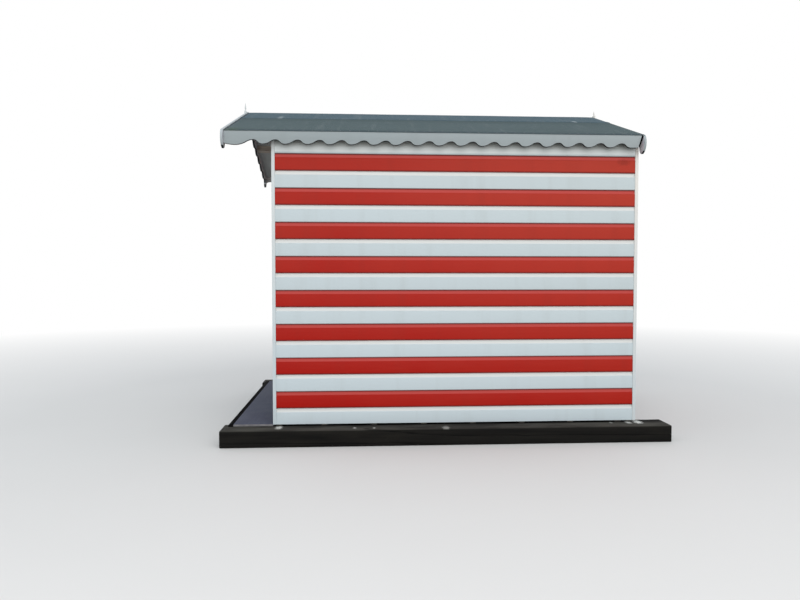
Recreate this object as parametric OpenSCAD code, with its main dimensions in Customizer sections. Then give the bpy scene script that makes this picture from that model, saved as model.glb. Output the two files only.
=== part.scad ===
// Seaside hut of striped shiplap boards on a stud frame, under a felted gable roof.
// The front, with the doors, faces -Y. Right and left are as seen from the front.
// The hut stands on three sleepers laid on the ground, at Z = 0.

/* [Walls] */
// Width across the front, over the side boards
hut_w = 2400; // [2200:10:3000]
// Depth from front to back, over the corner boards
hut_d = 3050; // [2400:10:3600]
// Height of wall that one board covers
board_cover = 139.2; // [120:0.2:150]
// Number of boards on a side wall, below the one that is cut down at the eaves
side_boards = 17; // [17:1:19]
// Height of the lowest board, which is cut down
first_board = 133; // [100:1:150]
// Thickness of a wall board
board_t = 20; // [16:1:24]
// Height of the hollow along the top of a board
cove_h = 36; // [15:1:40]
// Depth of the hollow along the top of a board
cove_d = 9; // [5:1:12]

/* [Corner boards] */
// Width of a corner board on the front and back
corner_w = 96; // [80:1:130]
// Thickness of a corner board
corner_t = 27; // [25:1:35]
// How far a corner board stands past the side boards
corner_lip = 6; // [2:1:12]

/* [Stud frame] */
// Width of a stud or rail
stud_w = 45; // [35:1:60]
// Depth of a stud or rail, through the wall
stud_d = 50; // [40:1:75]
// Spacing of the side wall studs
stud_pitch = 400; // [300:10:410]
// Height of the eaves plate, up to the roof boards at the outside of the wall
plate_h = 35; // [25:1:60]

/* [Sleepers] */
// Width of a sleeper
sleeper_w = 250; // [200:5:300]
// Height of a sleeper
sleeper_h = 140; // [100:5:180]
// How far the outer sleepers stand out past the side boards
sleeper_out = 160; // [60:5:170]
// How far the outer sleepers run out in front of the hut
sleeper_front = 410; // [400:5:700]
// How far the sleepers run out behind the hut
sleeper_back = 250; // [100:5:400]
// Worn bevel along the edges of a sleeper
sleeper_bevel = 8; // [2:1:20]

/* [Floor and deck] */
// Width of a floor joist
joist_w = 45; // [35:1:60]
// Height of a floor joist
joist_h = 50; // [35:1:75]
// Distance of the first inner joist from the front joist
joist_start = 370; // [200:5:400]
// Spacing of the inner joists
joist_pitch = 415; // [300:5:415]
// Thickness of the floor boards
floor_t = 20; // [16:1:28]
// Gap between the sleepers and the lowest wall board
skirt_gap = 14; // [8:1:16]
// Depth of the painted deck in front of the hut
deck_d = 325; // [250:5:340]
// Thickness of the deck
deck_t = 18; // [16:1:30]
// From the middle to the left end of the deck, which bears on the left sleeper
deck_left = 1130; // [1115:5:1200]
// Gap between the deck and the dark strip
deck_gap = 3; // [1:0.5:8]
// Width of the dark strip in front of the deck
strip_w = 38; // [20:1:55]

/* [Roof] */
// Roof pitch in degrees
pitch = 18.6; // [15:0.1:25]
// Thickness of the roof boards
roof_t = 16; // [12:1:22]
// Thickness of the roofing felt
felt_t = 3; // [2:0.5:5]
// How far the felt runs out past the fascia
felt_drip = 5; // [2:1:10]
// Reach of the ridge felt down each slope
ridge_felt_l = 500; // [300:10:600]
// Reach of the lower felt up under the ridge felt
felt_lap = 75; // [50:5:150]
// Overhang of the roof in front of the hut
front_overhang = 367; // [200:1:370]
// Overhang of the eaves past the side boards, to the face of the fascia
eaves_overhang = 85; // [60:1:130]
// Width of the ridge beam
ridge_w = 45; // [35:1:70]
// Height of the ridge beam
ridge_h = 95; // [80:1:120]
// Width of a purlin
purlin_w = 45; // [35:1:60]
// Depth of a purlin, square to the slope
purlin_h = 60; // [45:1:65]
// Distance of a purlin from the middle of the hut
purlin_x = 600; // [500:10:700]

/* [Scalloped trim] */
// Thickness of a fascia
fascia_t = 20; // [16:1:28]
// Height of a fascia at the foot of a lobe
fascia_h = 105; // [85:1:140]
// Thickness of a bargeboard
barge_t = 20; // [14:1:22]
// Depth of a bargeboard at the foot of a lobe, square to the slope
barge_h = 116; // [105:1:170]
// How far a front bargeboard stands up past the felt
barge_up = 8; // [5:1:15]
// How far the top of a bargeboard's foot runs out past the fascia
barge_tail = 13; // [5:1:25]
// Length of one lobe of the scallops
lobe_pitch = 177; // [140:1:220]
// Height of the scallops of a fascia
lobe_drop = 34; // [15:1:40]
// Height of the scallops of a bargeboard
barge_drop = 24; // [15:1:40]
// Share of each scallop that the round lobe takes
lobe_share = 0.6; // [0.4:0.05:0.75]
// Where a lobe of a fascia hangs lowest, as a share of its length from the front
lobe_lead = 0.4; // [0.3:0.05:0.5]
// Length of the long lobe at the front end of the right fascia
end_lobe = 237; // [180:1:300]
// Distance of that lobe's lowest point from the front end
end_low = 90; // [60:1:120]
// Extra depth of that lobe
end_drop = 8; // [0:1:15]
// How fast that lobe rises in front of its lowest point, as a share of the rate behind it
end_rise = 0.7; // [0.5:0.05:1]
// Distance of the first notch of the left fascia from its front end
left_notch = 45; // [0:1:90]
// Gap between the top of a fascia's back end and the back bargeboard
fascia_gap = 5; // [2:1:20]
// How much farther the foot of that end stops short
fascia_lean = 32; // [0:1:40]
// Extra depth of the lobe at the foot of a bargeboard
tail_drop = 36; // [0:1:40]
// How far the round end of a bargeboard bulges out from its foot
tail_nose = 43; // [20:1:45]

/* [Finials] */
// Width of the post that covers the bargeboard joint
finial_w = 50; // [45:1:70]
// How far the finial post hangs below the ridge beam
finial_drop = 12; // [5:1:40]
// Thickness of the finial post
finial_t = 18; // [16:1:22]
// Height of the front finial above the front bargeboards
front_spike = 84; // [60:1:160]
// Height of the back finial above the same level
back_spike = 52; // [40:1:160]

/* [Doors] */
// Width of the pair of doors
door_w = 1500; // [1200:10:1600]
// Height of the doors
door_h = 1890; // [1800:10:1950]
// Gap around and between the doors
door_gap = 4; // [2:0.5:6]
// Lap of the doors over their posts, head rail and floor edge
door_lap = 12; // [8:1:20]
// Width of the trim boards round the doors
trim_w = 70; // [50:1:90]
// Width of the ledges across the back of a door
ledge_w = 95; // [70:1:120]
// Thickness of the ledges
ledge_t = 20; // [16:1:25]
// Width of the strip that covers the joint of the doors
cover_w = 45; // [30:1:60]
// Thickness of the strip that covers the joint of the doors
cover_t = 10; // [8:1:16]

/* [Hinges and hasp] */
// Length of a hinge strap
strap_l = 330; // [250:10:400]
// Width of a hinge strap at the knuckle
strap_w = 36; // [28:1:50]
// Thickness of the hinge iron
iron_t = 3; // [2:0.5:5]
// Width of the knuckle of a hinge
knuckle_d = 13; // [10:1:16]
// Height of the plate of a hinge on the trim
plate_l = 150; // [100:5:180]

/* [Hidden] */
$fn = 48;

// The middle sleeper stops level with the front of the dark strip
short_front = deck_d + deck_gap + strip_w;

// Front to back, with the origin under the middle of the whole outline
front_reach = max(sleeper_front, short_front, front_overhang + barge_t + finial_t);
back_reach = max(sleeper_back, barge_t + finial_t);
front_y = -(front_reach + hut_d + back_reach) / 2 + front_reach;
back_y = front_y + hut_d;
frame_y0 = front_y + corner_t;
frame_y1 = back_y - corner_t;
verge_y0 = front_y - front_overhang;
verge_y1 = back_y;

// The felt stops behind the front bargeboards and covers the back ones
felt_y0 = verge_y0;
felt_y1 = verge_y1 + barge_t;

// From the middle out to the side
wall_x = hut_w / 2;
frame_x = wall_x - board_t;
room_x = frame_x - stud_d;
eaves_x = wall_x + eaves_overhang;
corner_x0 = wall_x + corner_lip - corner_w;
sleeper_x1 = wall_x + sleeper_out;

// Along a fascia from its front end, where its top and its foot stop and where
// the right one's last lobe comes down
fascia_l = verge_y1 - fascia_gap - verge_y0;
foot_l = fascia_l - fascia_lean;
last_low = end_lobe + (floor((foot_l - end_lobe) / lobe_pitch) + lobe_lead) * lobe_pitch;

// From the ground up
base_z = sleeper_h + skirt_gap;
floor_z = sleeper_h + joist_h + floor_t;
wall_h = first_board + (side_boards - 1) * board_cover;
plate_z = base_z + wall_h;
eaves_z = plate_z + plate_h;

// Vertical heights of the sloping layers
roof_rise = roof_t / cos(pitch);
felt_rise = felt_t / cos(pitch);
rafter_rise = stud_w / cos(pitch);

// The doorway
door_z0 = floor_z - door_lap;
door_z1 = door_z0 + door_h;
trim_x0 = door_w / 2 + door_gap;
trim_x1 = trim_x0 + trim_w;
head_z0 = door_z1 + door_gap;
head_z1 = head_z0 + trim_w;
post_x0 = door_w / 2 - door_lap;
lintel_z0 = door_z1 - door_lap;
lintel_h = 2 * stud_w;
leaf_w = (door_w - door_gap) / 2;
ledge_inset = 120;
ledge_zs = [door_z0 + ledge_inset, (door_z0 + door_z1 - ledge_w) / 2, door_z1 - ledge_inset - ledge_w];
ledge_clear = 6;

// Boards in the gables, up past the ridge
gable_boards = side_boards + ceil((plate_h + wall_x * tan(pitch)) / board_cover);
cove_steps = 4;

// Side clearance of the notches for the ridge beam and the purlins, and how far
// they are cut past the slope so that they stay open at the top
notch_clear = 1;
notch_open = 10;

// The ridge felt steps up over the edge of the lower felt within this length
felt_step = 8;

// The finial post's top above the bargeboards, and the part of the post's
// thickness that the foot of the spike takes
finial_neck = 6;
spike_share = 0.9;

// Steps of a scallop, and of the round nose of a bargeboard
scallop_steps = 20;
scallop_step = lobe_pitch / scallop_steps;
nose_steps = 12;

// Height of the roof boards' underside at a distance from the middle
function roof_under(x) = eaves_z + (wall_x - abs(x)) * tan(pitch);
function felt_top(x) = roof_under(x) + roof_rise + felt_rise;

// Lower edge of a wall board, counted from the bottom
function board_z(i) = i == 0 ? 0 : first_board + (i - 1) * board_cover;

// Half a scallop, from its notch down to its lowest point at a distance called
// half: a hollow arc and a round one, which meet at one slope
function curve(u, half, drop) =
    let (slope = 2 * atan(drop / half),
         lobe_r = lobe_share * half / sin(slope),
         notch_r = (1 - lobe_share) * half / sin(slope))
    u < notch_r * sin(slope)
        ? notch_r - sqrt(notch_r * notch_r - u * u)
        : drop - lobe_r + sqrt(lobe_r * lobe_r - (half - u) * (half - u));

// How far a scalloped edge hangs below its notches at a distance from a notch,
// with the lowest point of a lobe at a share of its length
function hang(s, drop, lead) =
    let (along = s - lobe_pitch * floor(s / lobe_pitch),
         low = lead * lobe_pitch)
    along < low ? curve(along, low, drop) : curve(lobe_pitch - along, lobe_pitch - low, drop);

// The same for the right fascia, from its front end. A long lobe comes first, and
// the last lobe runs out level
function right_hang(s) =
    let (half = end_lobe - end_low,
         off = s < end_low ? end_rise * (end_low - s) : s - end_low)
    s < end_lobe
        ? curve(max(0, half - off), half, lobe_drop + end_drop)
        : s > last_low ? lobe_drop : hang(s - end_lobe, lobe_drop, lobe_lead);

// Outline of shiplap boards laid one on another: a flat face below a hollow
function shiplap(count) = concat(
    [for (i = [0 : count - 1]) each concat(
        [[board_t, board_z(i)]],
        [for (k = [0 : cove_steps])
            let (a = 90 * k / cove_steps)
            [board_t - cove_d * sin(a), board_z(i + 1) - cove_h * cos(a)]])],
    [[0, board_z(count)], [0, 0]]);

// A flat shape in X and Z, drawn out along Y
module across(y0, y1) {
    translate([0, y1, 0]) rotate([90, 0, 0]) linear_extrude(y1 - y0) children();
}

// A flat shape in Y and Z, drawn out along X
module along(x0, x1) {
    translate([x0, 0, 0]) rotate([90, 0, 90]) linear_extrude(x1 - x0) children();
}

// A rectangle or a block between two corners
module panel(x0, x1, z0, z1) {
    translate([x0, z0]) square([x1 - x0, z1 - z0]);
}

module timber(x0, x1, y0, y1, z0, z1) {
    translate([x0, y0, z0]) cube([x1 - x0, y1 - y0, z1 - z0]);
}

module left_side() {
    mirror([1, 0, 0]) children();
}

module back_side() {
    translate([0, front_y + back_y, 0]) mirror([0, 1, 0]) children();
}

// Everything under the roof boards, between two distances from the middle
module under_roof(x0, x1, z0) {
    polygon([
        [x0, z0],
        [x1, z0],
        [x1, roof_under(x1)],
        if (x0 < 0 && x1 > 0) [0, roof_under(0)],
        [x0, roof_under(x0)],
    ]);
}

// Sleepers and floor
module sleeper(x0, reach) {
    b = sleeper_bevel;
    color([0.13, 0.13, 0.13])
        across(front_y - reach, back_y + sleeper_back)
            polygon([
                [x0 + b, 0],
                [x0 + sleeper_w - b, 0],
                [x0 + sleeper_w, b],
                [x0 + sleeper_w, sleeper_h - b],
                [x0 + sleeper_w - b, sleeper_h],
                [x0 + b, sleeper_h],
                [x0, sleeper_h - b],
                [x0, b],
            ]);
}

module right_sleeper() {
    sleeper(sleeper_x1 - sleeper_w, sleeper_front);
}

module middle_sleeper() {
    sleeper(-sleeper_w / 2, short_front);
}

module left_sleeper() {
    left_side() sleeper(sleeper_x1 - sleeper_w, sleeper_front);
}

module floor_joists() {
    span = frame_y1 - frame_y0 - joist_w;
    inner = ceil((span - joist_w - joist_start) / joist_pitch);
    starts = concat([0], [for (i = [0 : inner - 1]) joist_start + i * joist_pitch], [span]);
    color([0.42, 0.38, 0.33])
        for (y = starts)
            translate([0, frame_y0 + y, 0])
                timber(-frame_x, frame_x, 0, joist_w, sleeper_h, sleeper_h + joist_h);
}

module floor_boards() {
    color([0.62, 0.52, 0.38])
        timber(-frame_x, frame_x, frame_y0, frame_y1, sleeper_h + joist_h, floor_z);
}

// One wide painted board behind a narrow dark strip; both end on the left sleeper, whose
// top shows past them
module deck_boards() {
    color([0.34, 0.34, 0.4])
        timber(-deck_left, wall_x, front_y - deck_d, front_y, sleeper_h, sleeper_h + deck_t);
    color([0.13, 0.13, 0.13])
        timber(-deck_left, wall_x, front_y - short_front, front_y - short_front + strip_w,
            sleeper_h, sleeper_h + deck_t - deck_gap);
}

// Stud frames
module side_frame() {
    span = frame_y1 - frame_y0 - stud_w;
    mid_z = (floor_z + plate_z - stud_w) / 2;
    color([0.7, 0.58, 0.42]) {
        timber(room_x, frame_x, frame_y0, frame_y1, floor_z, floor_z + stud_w);
        timber(room_x, frame_x, frame_y0, frame_y1, mid_z, mid_z + stud_w);
        for (y = concat([for (i = [0 : stud_pitch : span - 2 * stud_w]) i], [span]))
            translate([0, frame_y0 + y, 0])
                timber(room_x, frame_x, 0, stud_w, floor_z, plate_z);
        across(frame_y0, frame_y1) under_roof(room_x, frame_x, plate_z);
    }
}

module right_wall_frame() {
    side_frame();
}

module left_wall_frame() {
    left_side() side_frame();
}

// Studs stand under the ridge beam and the purlins, and half-way between them
module gable_studs(z0) {
    step = purlin_x / 2;
    count = floor((room_x - 1.5 * stud_w) / step);
    for (i = [-count : count])
        panel(i * step - stud_w / 2, i * step + stud_w / 2, z0, roof_under(0));
    for (side = [-1, 1])
        panel(side * (room_x - stud_w / 2) - stud_w / 2, side * (room_x - stud_w / 2) + stud_w / 2,
            z0, roof_under(0));
}

module gable_rafters() {
    difference() {
        under_roof(-room_x, room_x, roof_under(room_x) - rafter_rise);
        translate([0, -rafter_rise]) under_roof(-room_x, room_x, roof_under(room_x) - rafter_rise);
    }
}

module ridge_outline(clear, open) {
    half = ridge_w / 2 + clear;
    polygon([
        [-half, roof_under(0) - ridge_h],
        [half, roof_under(0) - ridge_h],
        [half, roof_under(half) + open],
        [0, roof_under(0) + open],
        [-half, roof_under(half) + open],
    ]);
}

module purlin_outline(clear, open) {
    half = purlin_w / 2 + clear;
    translate([purlin_x, roof_under(purlin_x)]) rotate(-pitch)
        panel(-half, half, -purlin_h, open);
}

// Room for the ridge beam and the purlins in a gable
module beam_notches() {
    ridge_outline(notch_clear, notch_open);
    purlin_outline(notch_clear, notch_open);
    mirror([1, 0]) purlin_outline(notch_clear, notch_open);
}

module back_wall_frame() {
    mid_z = (floor_z + plate_z - stud_w) / 2;
    color([0.7, 0.58, 0.42])
        across(frame_y1 - stud_d, frame_y1)
            difference() {
                union() {
                    intersection() {
                        gable_studs(floor_z);
                        under_roof(-room_x, room_x, floor_z);
                    }
                    gable_rafters();
                    panel(-room_x, room_x, floor_z, floor_z + stud_w);
                    panel(-room_x, room_x, mid_z, mid_z + stud_w);
                    panel(-room_x, room_x, plate_z - stud_w, plate_z);
                }
                beam_notches();
            }
}

// The frame beside the doorway, up to the rail over the doors
module front_side_frame() {
    mid_z = (floor_z + lintel_z0 - stud_w) / 2;
    color([0.7, 0.58, 0.42])
        across(frame_y0, frame_y0 + stud_d) {
            panel(post_x0, post_x0 + stud_w, floor_z, lintel_z0);
            panel(room_x - stud_w, room_x, floor_z, lintel_z0);
            panel(post_x0, room_x, floor_z, floor_z + stud_w);
            panel(post_x0, room_x, mid_z, mid_z + stud_w);
        }
}

module front_right_frame() {
    front_side_frame();
}

module front_left_frame() {
    left_side() front_side_frame();
}

module front_gable_frame() {
    color([0.7, 0.58, 0.42])
        across(frame_y0, frame_y0 + stud_d)
            difference() {
                union() {
                    intersection() {
                        gable_studs(lintel_z0);
                        under_roof(-room_x, room_x, lintel_z0);
                    }
                    gable_rafters();
                    panel(-room_x, room_x, lintel_z0, lintel_z0 + lintel_h);
                }
                beam_notches();
            }
}

// Wall boards, with one more that is cut down to fit under the roof
module side_cladding() {
    color([0.86, 0.88, 0.89])
        across(frame_y0, frame_y1)
            intersection() {
                translate([frame_x, base_z]) polygon(shiplap(side_boards + 1));
                under_roof(frame_x, wall_x, base_z);
            }
}

module right_cladding() {
    side_cladding();
}

module left_cladding() {
    left_side() side_cladding();
}

// Shiplap on the front, cut to the flat shape that follows
module front_shiplap() {
    color([0.86, 0.88, 0.89])
        intersection() {
            along(-wall_x, wall_x)
                translate([frame_y0, base_z]) mirror([1, 0]) polygon(shiplap(gable_boards));
            across(frame_y0 - board_t, frame_y0) children();
        }
}

module back_cladding() {
    back_side()
        front_shiplap()
            difference() {
                under_roof(-corner_x0, corner_x0, base_z);
                beam_notches();
            }
}

module front_right_cladding() {
    front_shiplap() panel(trim_x1, corner_x0, base_z, head_z1);
}

module front_left_cladding() {
    front_shiplap() panel(-corner_x0, -trim_x1, base_z, head_z1);
}

module front_gable_cladding() {
    front_shiplap()
        difference() {
            under_roof(-corner_x0, corner_x0, head_z1);
            beam_notches();
        }
}

// Corner boards run up to the roof boards
module corner_board() {
    color([0.93, 0.93, 0.92])
        across(front_y, frame_y0)
            under_roof(corner_x0, wall_x + corner_lip, base_z);
}

module front_right_corner() {
    corner_board();
}

module front_left_corner() {
    left_side() corner_board();
}

module back_right_corner() {
    back_side() corner_board();
}

module back_left_corner() {
    left_side() back_side() corner_board();
}

// Doors and the boards round them
module right_door_trim() {
    color([0.93, 0.93, 0.92])
        timber(trim_x0, trim_x1, front_y, frame_y0, base_z, head_z0);
}

module left_door_trim() {
    left_side() right_door_trim();
}

module door_head_trim() {
    color([0.93, 0.93, 0.92])
        timber(-trim_x1, trim_x1, front_y, frame_y0, head_z0, head_z1);
}

module door_sill() {
    color([0.93, 0.93, 0.92])
        timber(-trim_x0, trim_x0, front_y, frame_y0, base_z, door_z0 - door_gap);
}

// A leaf of upright boards on three ledges and two braces
module door_leaf() {
    x0 = door_gap / 2;
    x1 = x0 + leaf_w;
    ledge_x1 = post_x0 - ledge_clear;
    color([0.93, 0.93, 0.92]) {
        timber(x0, x1, front_y, frame_y0, door_z0, door_z1);
        for (z = ledge_zs)
            timber(x0 + ledge_clear, ledge_x1, frame_y0, frame_y0 + ledge_t, z, z + ledge_w);
        for (i = [0, 1])
            across(frame_y0, frame_y0 + ledge_t)
                polygon([
                    [ledge_x1 - ledge_w, ledge_zs[i] + ledge_w],
                    [ledge_x1, ledge_zs[i] + ledge_w],
                    [x0 + ledge_clear + ledge_w, ledge_zs[i + 1]],
                    [x0 + ledge_clear, ledge_zs[i + 1]],
                ]);
    }
}

// The strip over the joint is fixed to the right leaf
module right_door() {
    door_leaf();
    color([0.93, 0.93, 0.92])
        timber(door_gap / 2, cover_w, front_y - cover_t, front_y, door_z0, door_z1);
}

module left_door() {
    left_side() door_leaf();
}

// A tapered strap on the leaf, a knuckle over the gap and a plate on the trim
module tee_hinge() {
    knuckle_x = door_w / 2 + door_gap / 2;
    strap_x1 = knuckle_x - strap_l;
    tip_r = strap_w / 4;
    across(front_y - iron_t, front_y) {
        polygon([
            [knuckle_x, -strap_w / 2],
            [knuckle_x, strap_w / 2],
            [strap_x1, tip_r],
            [strap_x1, -tip_r],
        ]);
        translate([strap_x1, 0]) circle(r = tip_r);
        panel(knuckle_x, knuckle_x + strap_w, -plate_l / 2, plate_l / 2);
    }
    translate([knuckle_x, front_y - knuckle_d / 2, -strap_w])
        cylinder(d = knuckle_d, h = 2 * strap_w);
}

// A hinged plate from the right leaf over a staple on the left leaf
module hasp() {
    hasp_w = strap_w;
    hasp_l = 2 * cover_w;
    staple_d = knuckle_d;
    across(front_y - cover_t - iron_t, front_y - cover_t)
        panel(door_gap / 2, cover_w, -hasp_w / 2, hasp_w / 2);
    across(front_y - iron_t, front_y)
        panel(-hasp_l, -door_gap, -hasp_w / 2, hasp_w / 2);
    along(-hasp_l / 2 - iron_t, -hasp_l / 2 + iron_t)
        translate([front_y - staple_d, -staple_d / 2]) square([staple_d - iron_t, staple_d]);
}

module door_ironwork() {
    color([0.1, 0.1, 0.11]) {
        for (z = ledge_zs) {
            translate([0, 0, z + ledge_w / 2]) tee_hinge();
            translate([0, 0, z + ledge_w / 2]) left_side() tee_hinge();
        }
        translate([0, 0, (door_z0 + door_z1) / 2]) hasp();
    }
}

// Roof timbers
module ridge_beam() {
    color([0.55, 0.45, 0.34]) across(verge_y0, verge_y1) ridge_outline(0, 0);
}

module right_purlin() {
    color([0.55, 0.45, 0.34]) across(verge_y0, verge_y1) purlin_outline(0, 0);
}

module left_purlin() {
    left_side() right_purlin();
}

// A sheet that follows the slope, between two heights over the underside
module slope_sheet(x0, x1, low, high) {
    polygon([
        [x0, roof_under(x0) + low],
        [x1, roof_under(x1) + low],
        [x1, roof_under(x1) + high],
        [x0, roof_under(x0) + high],
    ]);
}

module right_roof_boards() {
    color([0.45, 0.38, 0.3])
        across(verge_y0, verge_y1) slope_sheet(0, eaves_x - fascia_t, 0, roof_rise);
}

module left_roof_boards() {
    left_side() right_roof_boards();
}

// The lower felt runs from the drip edge up under the ridge felt
ridge_felt_x = ridge_felt_l * cos(pitch);
lap_x = (ridge_felt_l - felt_lap) * cos(pitch);

module right_felt() {
    color([0.36, 0.41, 0.42])
        across(felt_y0, felt_y1)
            slope_sheet(lap_x, eaves_x + felt_drip, roof_rise, roof_rise + felt_rise);
}

module left_felt() {
    left_side() right_felt();
}

// The ridge felt is bent over the ridge and steps up where it laps the lower felts
module ridge_felt() {
    low = roof_rise;
    mid = roof_rise + felt_rise;
    high = roof_rise + 2 * felt_rise;
    top = [[0, mid], [lap_x - felt_step, mid], [lap_x, high], [ridge_felt_x, high]];
    under = [[ridge_felt_x, mid], [lap_x, mid], [lap_x, low], [0, low]];
    color([0.34, 0.4, 0.43])
        across(felt_y0, felt_y1) {
            ridge_felt_side(concat(top, under));
            mirror([1, 0]) ridge_felt_side(concat(top, under));
        }
}

// One slope of the ridge felt, from distances and heights over the underside
module ridge_felt_side(points) {
    polygon([for (p = points) [p[0], roof_under(p[0]) + p[1]]]);
}

// Scalloped fascia, from the distances and depths of its lower edge. The lobes
// lean towards the front, and the back end was sawn out of plumb
module fascia_board(edge) {
    top_z = roof_under(eaves_x) + roof_rise;
    notch_z = top_z - fascia_h + lobe_drop;
    color([0.86, 0.88, 0.88])
        intersection() {
            along(eaves_x - fascia_t, eaves_x)
                polygon(concat(
                    [for (p = edge) [verge_y0 + p[0], notch_z - p[1]]],
                    [
                        [verge_y0 + fascia_l, top_z],
                        [verge_y0 + fascia_l, roof_under(0)],
                        [verge_y0, roof_under(0)],
                    ]));
            across(verge_y0, verge_y1)
                polygon([
                    [eaves_x - fascia_t, notch_z - fascia_h],
                    [eaves_x, notch_z - fascia_h],
                    [eaves_x, top_z],
                    [eaves_x - fascia_t, roof_under(eaves_x - fascia_t) + roof_rise],
                ]);
        }
}

module right_fascia() {
    stations = concat(
        [for (i = [0 : scallop_steps - 1]) i * end_lobe / scallop_steps],
        [for (i = [0 : ceil((foot_l - end_lobe) / scallop_step) - 1]) end_lobe + i * scallop_step],
        [foot_l]);
    fascia_board([for (s = stations) [s, right_hang(s)]]);
}

// The left fascia starts just before a notch
module left_fascia() {
    stations = concat([for (i = [0 : ceil(foot_l / scallop_step) - 1]) i * scallop_step], [foot_l]);
    left_side() fascia_board([for (s = stations) [s, hang(s - left_notch, lobe_drop, lobe_lead)]]);
}

// Depth of a bargeboard at a distance up from its foot, where a deeper lobe hangs
function barge_depth(s) =
    let (drop = s < lobe_pitch / 2 ? barge_drop + tail_drop : barge_drop)
    barge_h - barge_drop + hang(s - lobe_pitch / 2, drop, 0.5);

// Scalloped bargeboard: even lobes, laid along the slope up from the foot.
// The foot ends in a round nose, and the two boards meet plumb at the ridge
module barge_outline(up) {
    foot_x = eaves_x + barge_tail;
    last = ceil(foot_x / cos(pitch) / scallop_step);
    half_h = barge_depth(0) / 2;
    nose_r = (half_h * half_h + tail_nose * tail_nose) / (2 * tail_nose);
    sweep = asin(half_h / nose_r);
    intersection() {
        translate([foot_x, roof_under(foot_x) + up]) rotate(-pitch)
            polygon(concat(
                [for (k = [0 : nose_steps])
                    let (a = sweep * (2 * k / nose_steps - 1))
                    [tail_nose - nose_r * (1 - cos(a)), -half_h - nose_r * sin(a)]],
                [for (i = [1 : last]) [-i * scallop_step, -barge_depth(i * scallop_step)]],
                [[-last * scallop_step, 0]]));
        panel(0, foot_x + 2 * tail_nose, eaves_z - 2 * barge_h, roof_under(0) + 2 * up);
    }
}

module front_right_bargeboard() {
    color([0.93, 0.93, 0.92])
        across(verge_y0 - barge_t, verge_y0) barge_outline(roof_rise + felt_rise + barge_up);
}

module front_left_bargeboard() {
    left_side() front_right_bargeboard();
}

// The back bargeboards stand level with the roof boards, under the felt
module back_right_bargeboard() {
    color([0.93, 0.93, 0.92])
        across(verge_y1, verge_y1 + barge_t) barge_outline(roof_rise);
}

module back_left_bargeboard() {
    left_side() back_right_bargeboard();
}

// A flat post over the bargeboard joint with a turned spike on top
module finial(y0, spike) {
    neck_z = felt_top(0) + barge_up + finial_neck;
    foot_z = roof_under(0) - ridge_h - finial_drop;
    r = spike_share * finial_t / 2;
    color([0.95, 0.95, 0.94]) {
        timber(-finial_w / 2, finial_w / 2, y0, y0 + finial_t, foot_z, neck_z);
        translate([0, y0 + finial_t / 2, neck_z])
            rotate_extrude()
                polygon([
                    [0, -finial_neck], [r, -finial_neck], [r, 0], [r * 0.6, 0.15 * spike],
                    [r * 0.9, 0.35 * spike], [r * 0.6, 0.6 * spike], [r * 0.13, spike], [0, spike],
                ]);
    }
}

module front_finial() {
    finial(verge_y0 - barge_t - finial_t, front_spike - finial_neck);
}

module back_finial() {
    finial(verge_y1 + barge_t, back_spike - finial_neck);
}

right_sleeper();
middle_sleeper();
left_sleeper();
floor_joists();
floor_boards();
deck_boards();
right_wall_frame();
left_wall_frame();
back_wall_frame();
front_right_frame();
front_left_frame();
front_gable_frame();
right_cladding();
left_cladding();
back_cladding();
front_right_cladding();
front_left_cladding();
front_gable_cladding();
front_right_corner();
front_left_corner();
back_right_corner();
back_left_corner();
right_door_trim();
left_door_trim();
door_head_trim();
door_sill();
right_door();
left_door();
door_ironwork();
ridge_beam();
right_purlin();
left_purlin();
right_roof_boards();
left_roof_boards();
right_felt();
left_felt();
ridge_felt();
right_fascia();
left_fascia();
front_right_bargeboard();
front_left_bargeboard();
back_right_bargeboard();
back_left_bargeboard();
front_finial();
back_finial();
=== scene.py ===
# %% [markdown]
# # Dressing a striped beach hut
#
# The hut stands ready as a packed set of plain solids: sleepers, floor, stud frames, walls,
# doors and a gabled roof. They show where everything goes, but a painted wall is separate
# boards with nails in them, and felt has a grain and a lap. This lesson dresses the solids
# piece by piece and leaves their sizes alone.

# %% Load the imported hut
import math
import random

import bmesh
import bpy
from mathutils import Matrix, Vector, noise


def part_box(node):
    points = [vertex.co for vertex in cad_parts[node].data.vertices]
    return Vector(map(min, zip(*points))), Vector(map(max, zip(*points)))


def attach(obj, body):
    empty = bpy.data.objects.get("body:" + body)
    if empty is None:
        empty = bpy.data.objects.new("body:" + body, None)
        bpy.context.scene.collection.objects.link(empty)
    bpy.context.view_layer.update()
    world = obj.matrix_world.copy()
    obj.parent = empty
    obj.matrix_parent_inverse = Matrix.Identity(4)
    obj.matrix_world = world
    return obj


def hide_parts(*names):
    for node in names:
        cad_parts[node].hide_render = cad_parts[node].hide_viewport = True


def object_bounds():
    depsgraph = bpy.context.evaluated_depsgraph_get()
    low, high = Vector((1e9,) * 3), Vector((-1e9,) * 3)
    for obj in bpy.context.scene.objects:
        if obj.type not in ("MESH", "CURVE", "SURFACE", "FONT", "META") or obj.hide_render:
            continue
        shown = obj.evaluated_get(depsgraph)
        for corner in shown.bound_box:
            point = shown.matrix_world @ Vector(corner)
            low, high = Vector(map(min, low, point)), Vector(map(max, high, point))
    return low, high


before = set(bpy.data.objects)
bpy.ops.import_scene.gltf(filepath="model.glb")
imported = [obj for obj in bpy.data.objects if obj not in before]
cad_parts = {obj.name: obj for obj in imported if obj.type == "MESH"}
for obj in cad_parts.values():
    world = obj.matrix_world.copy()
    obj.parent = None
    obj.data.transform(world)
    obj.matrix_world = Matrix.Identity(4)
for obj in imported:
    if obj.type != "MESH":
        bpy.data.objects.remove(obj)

cad_lo, cad_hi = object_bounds()
size = cad_hi - cad_lo
print(f"{len(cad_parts)} solids, {size.x:.3f} x {size.y:.3f} x {size.z:.3f} m")

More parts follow.
